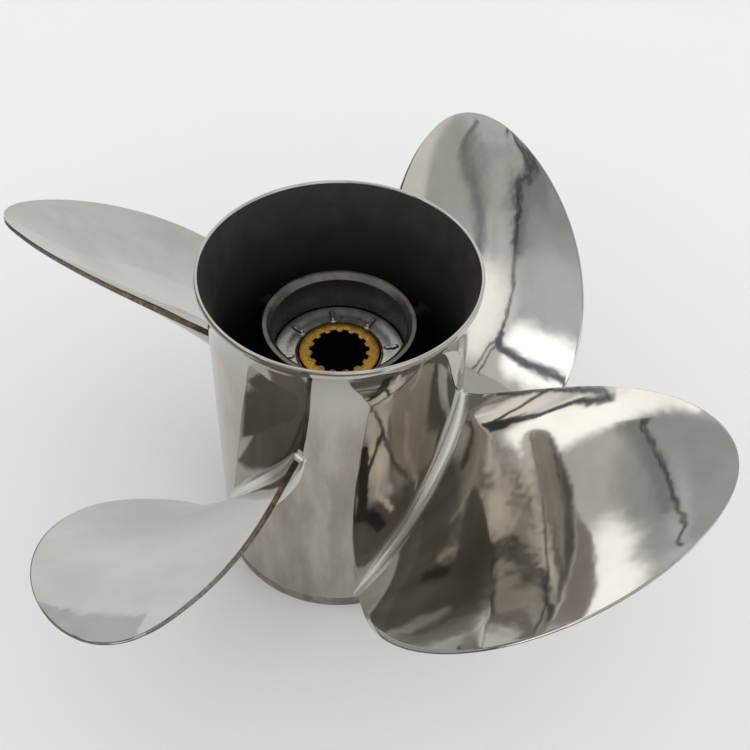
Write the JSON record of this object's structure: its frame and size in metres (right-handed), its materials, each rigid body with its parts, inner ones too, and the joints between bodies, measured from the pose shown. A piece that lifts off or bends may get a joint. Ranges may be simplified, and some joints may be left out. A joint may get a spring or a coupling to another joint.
{
  "type": "ship propeller",
  "caption": "Right-hand propeller with broad raked blades on a flared tubular hub that passes exhaust, with a rubber bush and a splined brass sleeve.",
  "frame": {"origin": "centre of the hub's front end face, on the shaft axis, at the level that the propeller stands on", "axes": "+Z along the shaft axis towards the flared rear end, +X to the right in the picture's view, +Y away from the viewer"},
  "size_m": [0.3422, 0.3422, 0.1812],
  "materials": {
    "polished_stainless": "mirror polished stainless steel with a faint haze",
    "turned_steel": "machined stainless steel with fine turning marks",
    "dark_casting": "unpolished dark cast surface",
    "black_rubber": "matt black rubber",
    "sintered_brass": "grainy sintered brass",
    "stamped_steel": "dark stamped steel, satin"
  },
  "bodies": {
    "root": {"barrel": "polished_stainless", "blade_1": "polished_stainless", "blade_2": "polished_stainless", "blade_3": "polished_stainless", "blade_4": "polished_stainless", "inner_hub": "turned_steel", "hub_rib_1": "dark_casting", "hub_rib_2": "dark_casting", "hub_rib_3": "dark_casting", "hub_rib_4": "dark_casting", "rubber_bush": "black_rubber", "spline_sleeve": "sintered_brass", "retaining_plate": "stamped_steel"}
  },
  "joints": []
}
